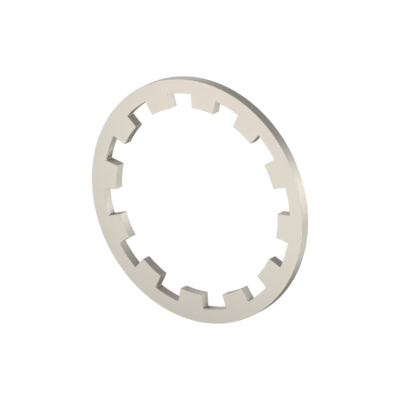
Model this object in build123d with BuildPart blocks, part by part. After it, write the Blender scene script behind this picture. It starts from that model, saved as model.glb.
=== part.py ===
from build123d import *

import os
from math import asin, degrees

# Lock washer: a flat steel ring with square-ended teeth on the inside. It is blanked from
# strip in one piece, so every wall stands square to the two faces. It lies flat on Z = 0,
# with the origin under its centre and one tooth on the +X axis. Lengths are in millimetres.

outer_diameter = 75.0
thickness = 3.2

# The ring's own width, from the outside to the floors of the gaps between the teeth.
rim_width = 4.35

# The teeth reach inwards from the floors of the gaps. Each is widest where it leaves the
# rim: its two flanks lean away from its centre line by the flank angle, in degrees.
tooth_count = 12
tooth_height = 4.35
tooth_end_width = 7.5
flank_angle = 8.2

# The punch leaves these radii in the outline, at the free corners of the teeth and in the
# inner corners of the gaps.
tooth_corner_radius = 0.12
gap_corner_radius = 0.15

# Tumbling breaks the sheared edges. The upper face, which the punch enters, is drawn down
# at its edges as well, so its break is larger than that of the lower face.
upper_edge_break = 0.08
lower_edge_break = 0.05

outer_radius = outer_diameter / 2
gap_floor_radius = outer_radius - rim_width
tooth_end_radius = gap_floor_radius - tooth_height
tooth_end_angle = degrees(asin(tooth_end_width / 2 / tooth_end_radius))

# A tooth's outline runs on to the middle of the rim, so that it joins the ring cleanly.
tooth_reach = tooth_height + rim_width / 2

with BuildSketch() as tooth:
    with BuildLine():
        free_end = CenterArc((0, 0), tooth_end_radius, -tooth_end_angle, 2 * tooth_end_angle)
        right_flank = PolarLine(free_end @ 0, tooth_reach, -flank_angle)
        left_flank = PolarLine(free_end @ 1, tooth_reach, flank_angle)
        Line(right_flank @ 1, left_flank @ 1)
    make_face()

with BuildSketch() as outline:
    Circle(outer_radius)
    Circle(gap_floor_radius, mode=Mode.SUBTRACT)
    with PolarLocations(0, tooth_count):
        add(tooth.sketch)
    gap_corners = outline.vertices().group_by(SortBy.DISTANCE, tol_digits=3)[1]
    fillet(gap_corners, gap_corner_radius)
    tooth_corners = outline.vertices().group_by(SortBy.DISTANCE, tol_digits=3)[0]
    fillet(tooth_corners, tooth_corner_radius)

with BuildPart() as lock_washer:
    add(outline.sketch)
    extrude(amount=thickness)
    chamfer(lock_washer.faces().sort_by(Axis.Z)[-1].edges(), upper_edge_break)
    chamfer(lock_washer.faces().sort_by(Axis.Z)[0].edges(), lower_edge_break)

lock_washer.part.label = "lock_washer"

os.makedirs("parts", exist_ok=True)
export_step(lock_washer.part, "parts/lock_washer.step")
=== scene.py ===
from math import asin, cos, degrees, pi, radians, sin, sqrt, tan

import bmesh
import bpy
from mathutils import Matrix, Vector


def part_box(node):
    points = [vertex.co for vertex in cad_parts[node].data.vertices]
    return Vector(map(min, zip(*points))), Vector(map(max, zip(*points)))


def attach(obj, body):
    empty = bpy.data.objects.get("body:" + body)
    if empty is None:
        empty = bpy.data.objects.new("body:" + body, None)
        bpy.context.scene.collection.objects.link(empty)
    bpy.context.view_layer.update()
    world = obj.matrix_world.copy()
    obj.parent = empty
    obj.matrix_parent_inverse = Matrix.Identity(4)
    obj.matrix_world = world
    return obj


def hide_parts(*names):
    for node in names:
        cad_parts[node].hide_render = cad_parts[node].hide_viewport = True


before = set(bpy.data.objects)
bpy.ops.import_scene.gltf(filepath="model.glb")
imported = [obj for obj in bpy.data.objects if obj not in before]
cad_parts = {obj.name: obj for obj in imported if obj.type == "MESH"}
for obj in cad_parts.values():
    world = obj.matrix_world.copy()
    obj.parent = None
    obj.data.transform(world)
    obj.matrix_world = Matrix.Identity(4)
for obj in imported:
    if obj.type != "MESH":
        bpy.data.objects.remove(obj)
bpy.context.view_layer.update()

# Lock washer: a flat steel ring with square-ended teeth on the inside, lying on a pale floor.
# Everything is in metres, in the part's own frame, with one tooth on the +X axis.

MM = 0.001

# Sizes of the washer. The outer radius and the thickness come from the part itself.
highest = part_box("lock_washer")[1]
outer_radius = highest.x
thickness = highest.z
rim_width = 4.35 * MM
tooth_count = 12
tooth_height = 4.35 * MM
tooth_end_width = 7.5 * MM
flank_angle = radians(8.2)
tooth_corner_radius = 0.12 * MM
gap_corner_radius = 0.15 * MM
upper_edge_break = 0.08 * MM
lower_edge_break = 0.05 * MM

gap_floor_radius = outer_radius - rim_width
tooth_end_radius = gap_floor_radius - tooth_height
pitch = 2 * pi / tooth_count

# How finely the arcs, the rounded corners and the broken edges are drawn.
ARC_STEP = radians(1)
CORNER_SEGMENTS = 5
UPPER_BREAK_SEGMENTS = 4
LOWER_BREAK_SEGMENTS = 2

# The least turn of the outline at a corner, and the least turn from a face to a wall.
CORNER_TURN = radians(30)
FACE_EDGE_TURN = radians(60)

# The washer's material slots. A facet's lean, 0 upright and 1 level, tells the faces and the
# broken edges from the walls. An upright facet narrower than CORNER_FACET belongs to a rounded
# corner, and takes the edges' slot.
FACE, WALL, EDGE = 0, 1, 2
FACE_LEAN = 0.99
EDGE_LEAN = 0.1
CORNER_FACET = 0.1 * MM

# The view of the photograph. The direction is the camera's, about +Z from +X, and the roll
# turns the camera's up from level towards level right.
view_direction = radians(-84.412)
view_elevation = radians(51.514)
view_roll = radians(115.705)
picture_width = 118.08 * MM
lens_mm = 1500
sensor_mm = 36
aim_right = 0.986 * MM
aim_up = 0.477 * MM


def new_piece(name, bm, materials):
    """Makes a bmesh an object, with these materials in its slots."""
    mesh = bpy.data.meshes.new(name)
    bm.to_mesh(mesh)
    bm.free()
    for material in materials:
        mesh.materials.append(material)
    piece = bpy.data.objects.new(name, mesh)
    bpy.context.scene.collection.objects.link(piece)
    return piece


# The washer's shape

def arc(bm, radius, start, end):
    """Sweeps a point about the washer's axis. Returns the arc's two end points."""
    first = bm.verts.new((radius * cos(start), radius * sin(start), 0))
    steps = max(1, round(abs(end - start) / ARC_STEP))
    swept = bmesh.ops.spin(bm, geom=[first], cent=(0, 0, 0), axis=(0, 0, 1),
                           angle=end - start, steps=steps)
    last = next(item for item in swept["geom_last"] if isinstance(item, bmesh.types.BMVert))
    return first, last


def one_tooth(bm):
    """The flat face of one tooth, with its share of the rim and half a gap on each side."""
    half_end = tooth_end_width / 2
    end_x = sqrt(tooth_end_radius ** 2 - half_end ** 2)
    end_angle = asin(half_end / tooth_end_radius)
    # The flank is the line y = across + slope * x. It meets the gap's floor where its distance
    # from the axis is the floor's radius.
    slope = tan(flank_angle)
    across = half_end - slope * end_x
    squares = 1 + slope ** 2
    reach = sqrt(gap_floor_radius ** 2 * squares - across ** 2)
    root_x = (reach - slope * across) / squares
    root_angle = asin((across + slope * root_x) / gap_floor_radius)
    outer = arc(bm, outer_radius, -pitch / 2, pitch / 2)
    left_floor = arc(bm, gap_floor_radius, pitch / 2, root_angle)
    tooth_end = arc(bm, tooth_end_radius, end_angle, -end_angle)
    right_floor = arc(bm, gap_floor_radius, -root_angle, -pitch / 2)
    for a, b in ((outer[1], left_floor[0]), (left_floor[1], tooth_end[0]),
                 (tooth_end[1], right_floor[0]), (right_floor[1], outer[0])):
        bm.edges.new((a, b))
    bmesh.ops.contextual_create(bm, geom=bm.edges[:])


def is_upright(edge):
    return abs(edge.verts[0].co.z - edge.verts[1].co.z) > thickness / 2


def lies_at(edge, height):
    return all(abs(v.co.z - height) < thickness / 100 for v in edge.verts)


def round_edges(bm, edges, size, segments):
    bmesh.ops.bevel(bm, geom=edges, affect="EDGES", offset=size, offset_type="OFFSET",
                    segments=segments, profile=0.5, material=-1)


def round_corners(bm, radius, sign):
    """Rounds the outline's corners: the teeth's for sign 1, the gaps' for sign -1."""
    corners = [e for e in bm.edges
               if is_upright(e) and sign * e.calc_face_angle_signed() > CORNER_TURN]
    round_edges(bm, corners, radius, CORNER_SEGMENTS)


def break_edges(bm, height, size, segments):
    """Breaks every edge of the face at this height."""
    edges = [e for e in bm.edges
             if lies_at(e, height) and e.calc_face_angle() > FACE_EDGE_TURN]
    round_edges(bm, edges, size, segments)


def finish_of(facet):
    """The material slot of a facet of the washer."""
    lean = abs(facet.normal.z)
    if lean > FACE_LEAN:
        return FACE
    narrow = facet.calc_area() < CORNER_FACET * thickness
    return EDGE if lean > EDGE_LEAN or narrow else WALL


def washer_mesh():
    bm = bmesh.new()
    one_tooth(bm)
    bmesh.ops.spin(bm, geom=bm.faces[:] + bm.edges[:] + bm.verts[:], cent=(0, 0, 0),
                   axis=(0, 0, 1), angle=2 * pi - pitch, steps=tooth_count - 1,
                   use_duplicate=True)
    bmesh.ops.remove_doubles(bm, verts=bm.verts[:], dist=outer_radius / 1e5)
    raised = bmesh.ops.extrude_face_region(bm, geom=bm.faces[:], use_keep_orig=True)
    upper = [item for item in raised["geom"] if isinstance(item, bmesh.types.BMVert)]
    bmesh.ops.translate(bm, verts=upper, vec=(0, 0, thickness))
    bmesh.ops.recalc_face_normals(bm, faces=bm.faces[:])
    round_corners(bm, tooth_corner_radius, 1)
    round_corners(bm, gap_corner_radius, -1)
    break_edges(bm, thickness, upper_edge_break, UPPER_BREAK_SEGMENTS)
    break_edges(bm, 0, lower_edge_break, LOWER_BREAK_SEGMENTS)
    for facet in bm.faces:
        facet.smooth = True
        facet.material_index = finish_of(facet)
    return bm


# Finishes. Two effects are built once: the fine finish that tumbling leaves everywhere, and the
# marks that the punch draws up a wall. Both take the piece's own Object coordinates.

def new_effect(name, inputs, outputs):
    """Starts a shader node group. Each input and output is (name, kind)."""
    group = bpy.data.node_groups.new(name, "ShaderNodeTree")
    for way, sockets in (("INPUT", inputs), ("OUTPUT", outputs)):
        for label, kind in sockets:
            group.interface.new_socket(name=label, in_out=way, socket_type="NodeSocket" + kind)
    return group


class Wiring:
    """Adds nodes to one node tree, each given its inputs as values or as other nodes' outputs."""

    def __init__(self, tree):
        self.tree = tree

    def set(self, socket, source):
        if isinstance(source, bpy.types.NodeSocket):
            self.tree.links.new(source, socket)
        else:
            socket.default_value = source

    def add(self, kind, inputs, **settings):
        node = self.tree.nodes.new("ShaderNode" + kind)
        for key, value in settings.items():
            setattr(node, key, value)
        for key, source in inputs.items():
            self.set(node.inputs[key], source)
        return node

    def math(self, operation, a, b):
        return self.add("Math", {0: a, 1: b}, operation=operation).outputs[0]

    def vector(self, operation, a, b):
        return self.add("VectorMath", {0: a, 1: b}, operation=operation).outputs[0]

    def scaled(self, vector, factor):
        return self.add("VectorMath", {0: vector, "Scale": factor}, operation="SCALE").outputs[0]

    def around_one(self, noise, change):
        """Turns noise about 0.5 into a factor about 1."""
        swing = self.math("MULTIPLY", self.math("SUBTRACT", noise, 0.5), change)
        return self.math("ADD", swing, 1.0)

    def noise(self, place, size, detail):
        """Noise whose patches are about this size, in metres."""
        place = self.scaled(place, self.math("DIVIDE", 1.0, size))
        return self.add("TexNoise", {"Vector": place, "Scale": 1.0, "Detail": detail}).outputs[0]

    def ramp(self, value, low, high, at_low, at_high):
        """Goes smoothly from at_low to at_high as the value goes from low to high."""
        return self.add("MapRange", {
            "Value": value, "From Min": low, "From Max": high, "To Min": at_low, "To Max": at_high,
        }, interpolation_type="SMOOTHSTEP").outputs[0]


def tumbled_effect():
    """Faint cloudiness in the colour, and a fine grain in the roughness and the surface."""
    group = new_effect("tumbled_grain", (
        ("Place", "Vector"), ("Color", "Color"), ("Roughness", "Float"),
        ("Cloud Size", "Float"), ("Cloud Change", "Float"),
        ("Grain Size", "Float"), ("Grain Change", "Float"), ("Grain Depth", "Float"),
    ), (("Color", "Color"), ("Roughness", "Float"), ("Normal", "Vector")))
    wires = Wiring(group)
    given = group.nodes.new("NodeGroupInput").outputs
    clouds = wires.noise(given["Place"], given["Cloud Size"], detail=3)
    grain = wires.noise(given["Place"], given["Grain Size"], detail=2)
    tone = wires.around_one(clouds, given["Cloud Change"])
    evenness = wires.around_one(grain, given["Grain Change"])
    surface = wires.add("Bump", {"Height": grain, "Distance": given["Grain Depth"]}).outputs[0]
    result = group.nodes.new("NodeGroupOutput").inputs
    wires.set(result["Color"], wires.scaled(given["Color"], tone))
    wires.set(result["Roughness"], wires.math("MULTIPLY", given["Roughness"], evenness))
    wires.set(result["Normal"], surface)
    return group


# A drawn mark's width as a share of its length up the wall.
MARK_SHAPE = 0.06


def drawn_effect():
    """Faint light and dark lines that run up a wall, and their relief."""
    group = new_effect("drawn_marks", (
        ("Place", "Vector"), ("Color", "Color"), ("Normal", "Vector"),
        ("Mark Width", "Float"), ("Mark Change", "Float"), ("Mark Depth", "Float"),
    ), (("Color", "Color"), ("Normal", "Vector")))
    wires = Wiring(group)
    given = group.nodes.new("NodeGroupInput").outputs
    drawn_out = wires.vector("MULTIPLY", given["Place"], (1, 1, MARK_SHAPE))
    marks = wires.noise(drawn_out, given["Mark Width"], detail=2)
    tone = wires.around_one(marks, given["Mark Change"])
    surface = wires.add("Bump", {
        "Height": marks, "Distance": given["Mark Depth"], "Normal": given["Normal"]}).outputs[0]
    result = group.nodes.new("NodeGroupOutput").inputs
    wires.set(result["Color"], wires.scaled(given["Color"], tone))
    wires.set(result["Normal"], surface)
    return group


tumbled_grain = tumbled_effect()
drawn_marks = drawn_effect()


def new_metal(name):
    """Starts a metal. Returns it, its wiring, its shader and the piece's own coordinates."""
    material = bpy.data.materials.new(name)
    material.use_nodes = True
    wires = Wiring(material.node_tree)
    shader = material.node_tree.nodes["Principled BSDF"].inputs
    shader["Metallic"].default_value = 1
    place = wires.add("TexCoord", {}).outputs["Object"]
    return material, wires, shader, place


def with_effect(wires, effect, inputs):
    return wires.add("Group", inputs, node_tree=effect).outputs


def put_on(wires, shader, color, roughness, normal):
    wires.set(shader["Base Color"], color)
    wires.set(shader["Roughness"], roughness)
    wires.set(shader["Normal"], normal)


def satin_face():
    """The flat faces, light and evenly satin."""
    material, wires, shader, place = new_metal("satin_face")
    finish = with_effect(wires, tumbled_grain, {
        "Place": place, "Color": (0.658, 0.611, 0.539, 1), "Roughness": 0.35,
        "Cloud Size": 5 * MM, "Cloud Change": 0.06,
        "Grain Size": 0.35 * MM, "Grain Change": 0.12, "Grain Depth": 0.0004 * MM})
    put_on(wires, shader, finish["Color"], finish["Roughness"], finish["Normal"])
    return material


def shaded_sheared_wall():
    """The walls as the punch left them, darker than the faces: partly the duller sheared finish,
    partly painted shade that stands for the dark surroundings a wall mirrors.
    """
    material, wires, shader, place = new_metal("shaded_sheared_wall")
    # The wall colour is partly painted shade: darker than the faces' for the dark surroundings a
    # wall mirrors.
    finish = with_effect(wires, tumbled_grain, {
        "Place": place, "Color": (0.337, 0.313, 0.276, 1), "Roughness": 0.65,
        "Cloud Size": 4 * MM, "Cloud Change": 0.08,
        "Grain Size": 0.3 * MM, "Grain Change": 0.06, "Grain Depth": 0.0002 * MM})
    marks = with_effect(wires, drawn_marks, {
        "Place": place, "Color": finish["Color"], "Normal": finish["Normal"],
        "Mark Width": 0.22 * MM, "Mark Change": 0.12, "Mark Depth": 0.0004 * MM})
    # A wall is rougher up it than along it, so a reflection spreads up and down far more than
    # sideways.
    shader["Anisotropic"].default_value = 0.9
    wires.set(shader["Tangent"], wires.add("CombineXYZ", {"Z": 1}).outputs[0])
    put_on(wires, shader, marks["Color"], finish["Roughness"], marks["Normal"])
    return material


def broken_edge():
    """The broken edges and rounded corners, dull, between the faces and the walls in tone. That
    darker tone is painted shade, which keeps the edges from shining as bright lines.
    """
    material, wires, shader, place = new_metal("broken_edge")
    finish = with_effect(wires, tumbled_grain, {
        # The edge colour is painted shade, set darker than the faces' so the edges don't shine as
        # bright lines.
        "Place": place, "Color": (0.40, 0.372, 0.328, 1), "Roughness": 0.75,
        "Cloud Size": 3 * MM, "Cloud Change": 0.06,
        "Grain Size": 0.2 * MM, "Grain Change": 0.05, "Grain Depth": 0})
    put_on(wires, shader, finish["Color"], finish["Roughness"], finish["Normal"])
    return material


washer = new_piece("washer", washer_mesh(), [satin_face(), shaded_sheared_wall(), broken_edge()])

# Large facets set the shading, so the faces and walls look flat right up to their broken edges.
weigh = washer.modifiers.new("even_shading", "WEIGHTED_NORMAL")
weigh.mode = "FACE_AREA"
weigh.weight = 100

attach(washer, "root")
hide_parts("lock_washer")


# The floor. The camera, and metal, see it white. A small share of its shader is a matt surface,
# which takes the washer's faint shadow.

FLOOR_REACH = 3
FLOOR_COLOR = (0.8, 0.8, 0.8, 1)
FLOOR_WHITE = 1.0
FLOOR_SHADOW_SHARE = 0.08


def floor_material():
    material = bpy.data.materials.new("pale_floor")
    material.use_nodes = True
    nodes = material.node_tree.nodes
    wires = Wiring(material.node_tree)
    matt = nodes["Principled BSDF"]
    matt.inputs["Base Color"].default_value = FLOOR_COLOR
    matt.inputs["Roughness"].default_value = 1
    path = wires.add("LightPath", {}).outputs
    mirrored = wires.math("MAXIMUM", path["Is Glossy Ray"], path["Is Transmission Ray"])
    seen = wires.math("MAXIMUM", path["Is Camera Ray"], mirrored)
    share = wires.math("MULTIPLY", seen, 1 - FLOOR_SHADOW_SHARE)
    white = wires.add("Emission", {"Strength": FLOOR_WHITE}).outputs[0]
    shown = wires.add("MixShader", {0: share, 1: matt.outputs[0], 2: white}).outputs[0]
    wires.set(nodes["Material Output"].inputs["Surface"], shown)
    return material


def make_floor():
    bm = bmesh.new()
    bmesh.ops.create_grid(bm, x_segments=1, y_segments=1, size=FLOOR_REACH)
    floor = new_piece("floor", bm, [floor_material()])


def toward(azimuth, elevation):
    """The direction at this azimuth from +X and this elevation, both in radians."""
    return Vector((cos(elevation) * cos(azimuth), cos(elevation) * sin(azimuth), sin(elevation)))


# The lamps. Each row is a lamp's name, its azimuth from +X and its elevation in degrees, its
# distance, width and height in metres, its power in watts, its colour, and the point on the
# washer that it faces. Those of the rim and teeth light the walls, the taller the more evenly.
# The small ones of the face stand where the upper face mirrors them to the camera.

AT_MIRROR = (180 + degrees(view_direction), degrees(view_elevation), 0.25, 0.06, 0.06)
SOFTBOXES = (
    ("rim_tall", 250, 42, 1.0, 0.54, 1.3, 12.4, (0.945, 0.955, 1), (0, 0)),
    ("rim_wide", 260, 42, 1.0, 0.93, 1.3, 3.23, (0.806, 1, 0.846), (0, 0)),
    ("rim_low_wide", 230, 18, 1.0, 1.4, 0.5, 4.6, (1, 0.916, 0.839), (0, 0)),
    ("rim_low", 205, 18, 1.0, 0.36, 0.5, 4.68, (0.87, 0.951, 1), (0, 0)),
    ("rim_near", 255, 30, 0.16, 0.1, 0.024, 0.055, (0.857, 0.911, 1), (0, 0)),
    ("teeth_tall", 20, 42, 1.0, 0.54, 1.3, 4.08, (0.938, 1, 0.997), (0, 0)),
    ("teeth_near", 25, 30, 0.16, 0.1, 0.024, 0.0523, (0.793, 0.854, 1), (0, 0)),
    ("side_tall", 325, 42, 1.0, 0.36, 1.3, 0.842, (1, 0.877, 0.839), (0, 0)),
    ("back_low", 130, 22, 1.0, 0.7, 0.5, 0.88, (1, 1, 1), (0, 0)),
    ("face_right", *AT_MIRROR, 0.0161, (0.992, 0.978, 1), (-0.035, -0.07)),
    ("face_middle", *AT_MIRROR, 0.0138, (0.943, 1, 0.961), (0, 0)),
    ("face_upper", *AT_MIRROR, 0.0106, (0.896, 1, 0.973), (0.035, 0)),
    ("face_lower", *AT_MIRROR, 0.0192, (1, 0.592, 0.779), (0.07, -0.07)),
)


def softbox(name, azimuth, elevation, distance, width, height, watts, color, aim):
    """A soft lamp that faces a point of the washer, this far from it, its width level."""
    data = bpy.data.lights.new(name, "AREA")
    data.shape = "RECTANGLE"
    data.size = width
    data.size_y = height
    data.energy = watts
    data.color = color
    back = toward(radians(azimuth), radians(elevation))
    place = Vector((*aim, thickness)) + back * distance
    lamp = bpy.data.objects.new(name, data)
    turned = back.to_track_quat("Z", "Y").to_matrix().to_4x4()
    lamp.matrix_world = Matrix.Translation(place) @ turned
    lamp.visible_camera = False
    bpy.context.scene.collection.objects.link(lamp)


# The room is white round the horizon, where the floor ends, and dimmer overhead. Towards one
# azimuth it is almost dark, as behind a black screen. The lights are Background strengths, and
# the angles are in degrees: heights, the screen's azimuth from +X, and how far to each side of
# that it is dark and has faded into the room.

HORIZON_LIGHT = 1.0
ROOM_LIGHT = 0.4
SCREEN_LIGHT = 0.03
HORIZON_TOP = 4
ROOM_FOOT = 14
SCREEN_AZIMUTH = 168
SCREEN_DARK = 18
SCREEN_FADED = 36


def make_room():
    world = bpy.data.worlds.new("studio")
    bpy.context.scene.world = world
    world.use_nodes = True
    wires = Wiring(world.node_tree)
    direction = wires.add("TexCoord", {}).outputs["Generated"]
    height = wires.add("SeparateXYZ", {0: direction}).outputs["Z"]
    level = wires.vector("MULTIPLY", direction, (1, 1, 0))
    level = wires.add("VectorMath", {0: level}, operation="NORMALIZE").outputs[0]
    screen = toward(radians(SCREEN_AZIMUTH), 0)
    to_screen = wires.add("VectorMath", {0: level, 1: screen},
                          operation="DOT_PRODUCT").outputs["Value"]
    overhead = wires.ramp(to_screen, cos(radians(SCREEN_FADED)), cos(radians(SCREEN_DARK)),
                          ROOM_LIGHT, SCREEN_LIGHT)
    strength = wires.ramp(height, sin(radians(HORIZON_TOP)), sin(radians(ROOM_FOOT)),
                          HORIZON_LIGHT, overhead)
    background = world.node_tree.nodes["Background"].inputs
    background["Color"].default_value = (1, 1, 1, 1)
    wires.set(background["Strength"], strength)


make_floor()
make_room()
for row in SOFTBOXES:
    softbox(*row)


# How near and how far the camera sees, as shares of its distance.
CLIP_NEAR = 0.1
CLIP_FAR = 2


def make_camera():
    """Looks at the washer from the photograph's direction, rolled as the photograph is."""
    data = bpy.data.cameras.new("camera")
    data.lens = lens_mm
    data.sensor_width = sensor_mm
    back = toward(view_direction, view_elevation)
    level_right = Vector((0, 0, 1)).cross(back).normalized()
    level_up = back.cross(level_right)
    up = level_up * cos(view_roll) + level_right * sin(view_roll)
    right = up.cross(back)
    aim = Vector((0, 0, thickness)) + right * aim_right + up * aim_up
    distance = picture_width * lens_mm / sensor_mm
    data.clip_start = distance * CLIP_NEAR
    data.clip_end = distance * CLIP_FAR
    camera = bpy.data.objects.new("camera", data)
    turned = Matrix((right, up, back)).transposed().to_4x4()
    camera.matrix_world = Matrix.Translation(aim + back * distance) @ turned
    bpy.context.scene.collection.objects.link(camera)
    bpy.context.scene.camera = camera


make_camera()
bpy.context.scene.view_settings.view_transform = "Standard"
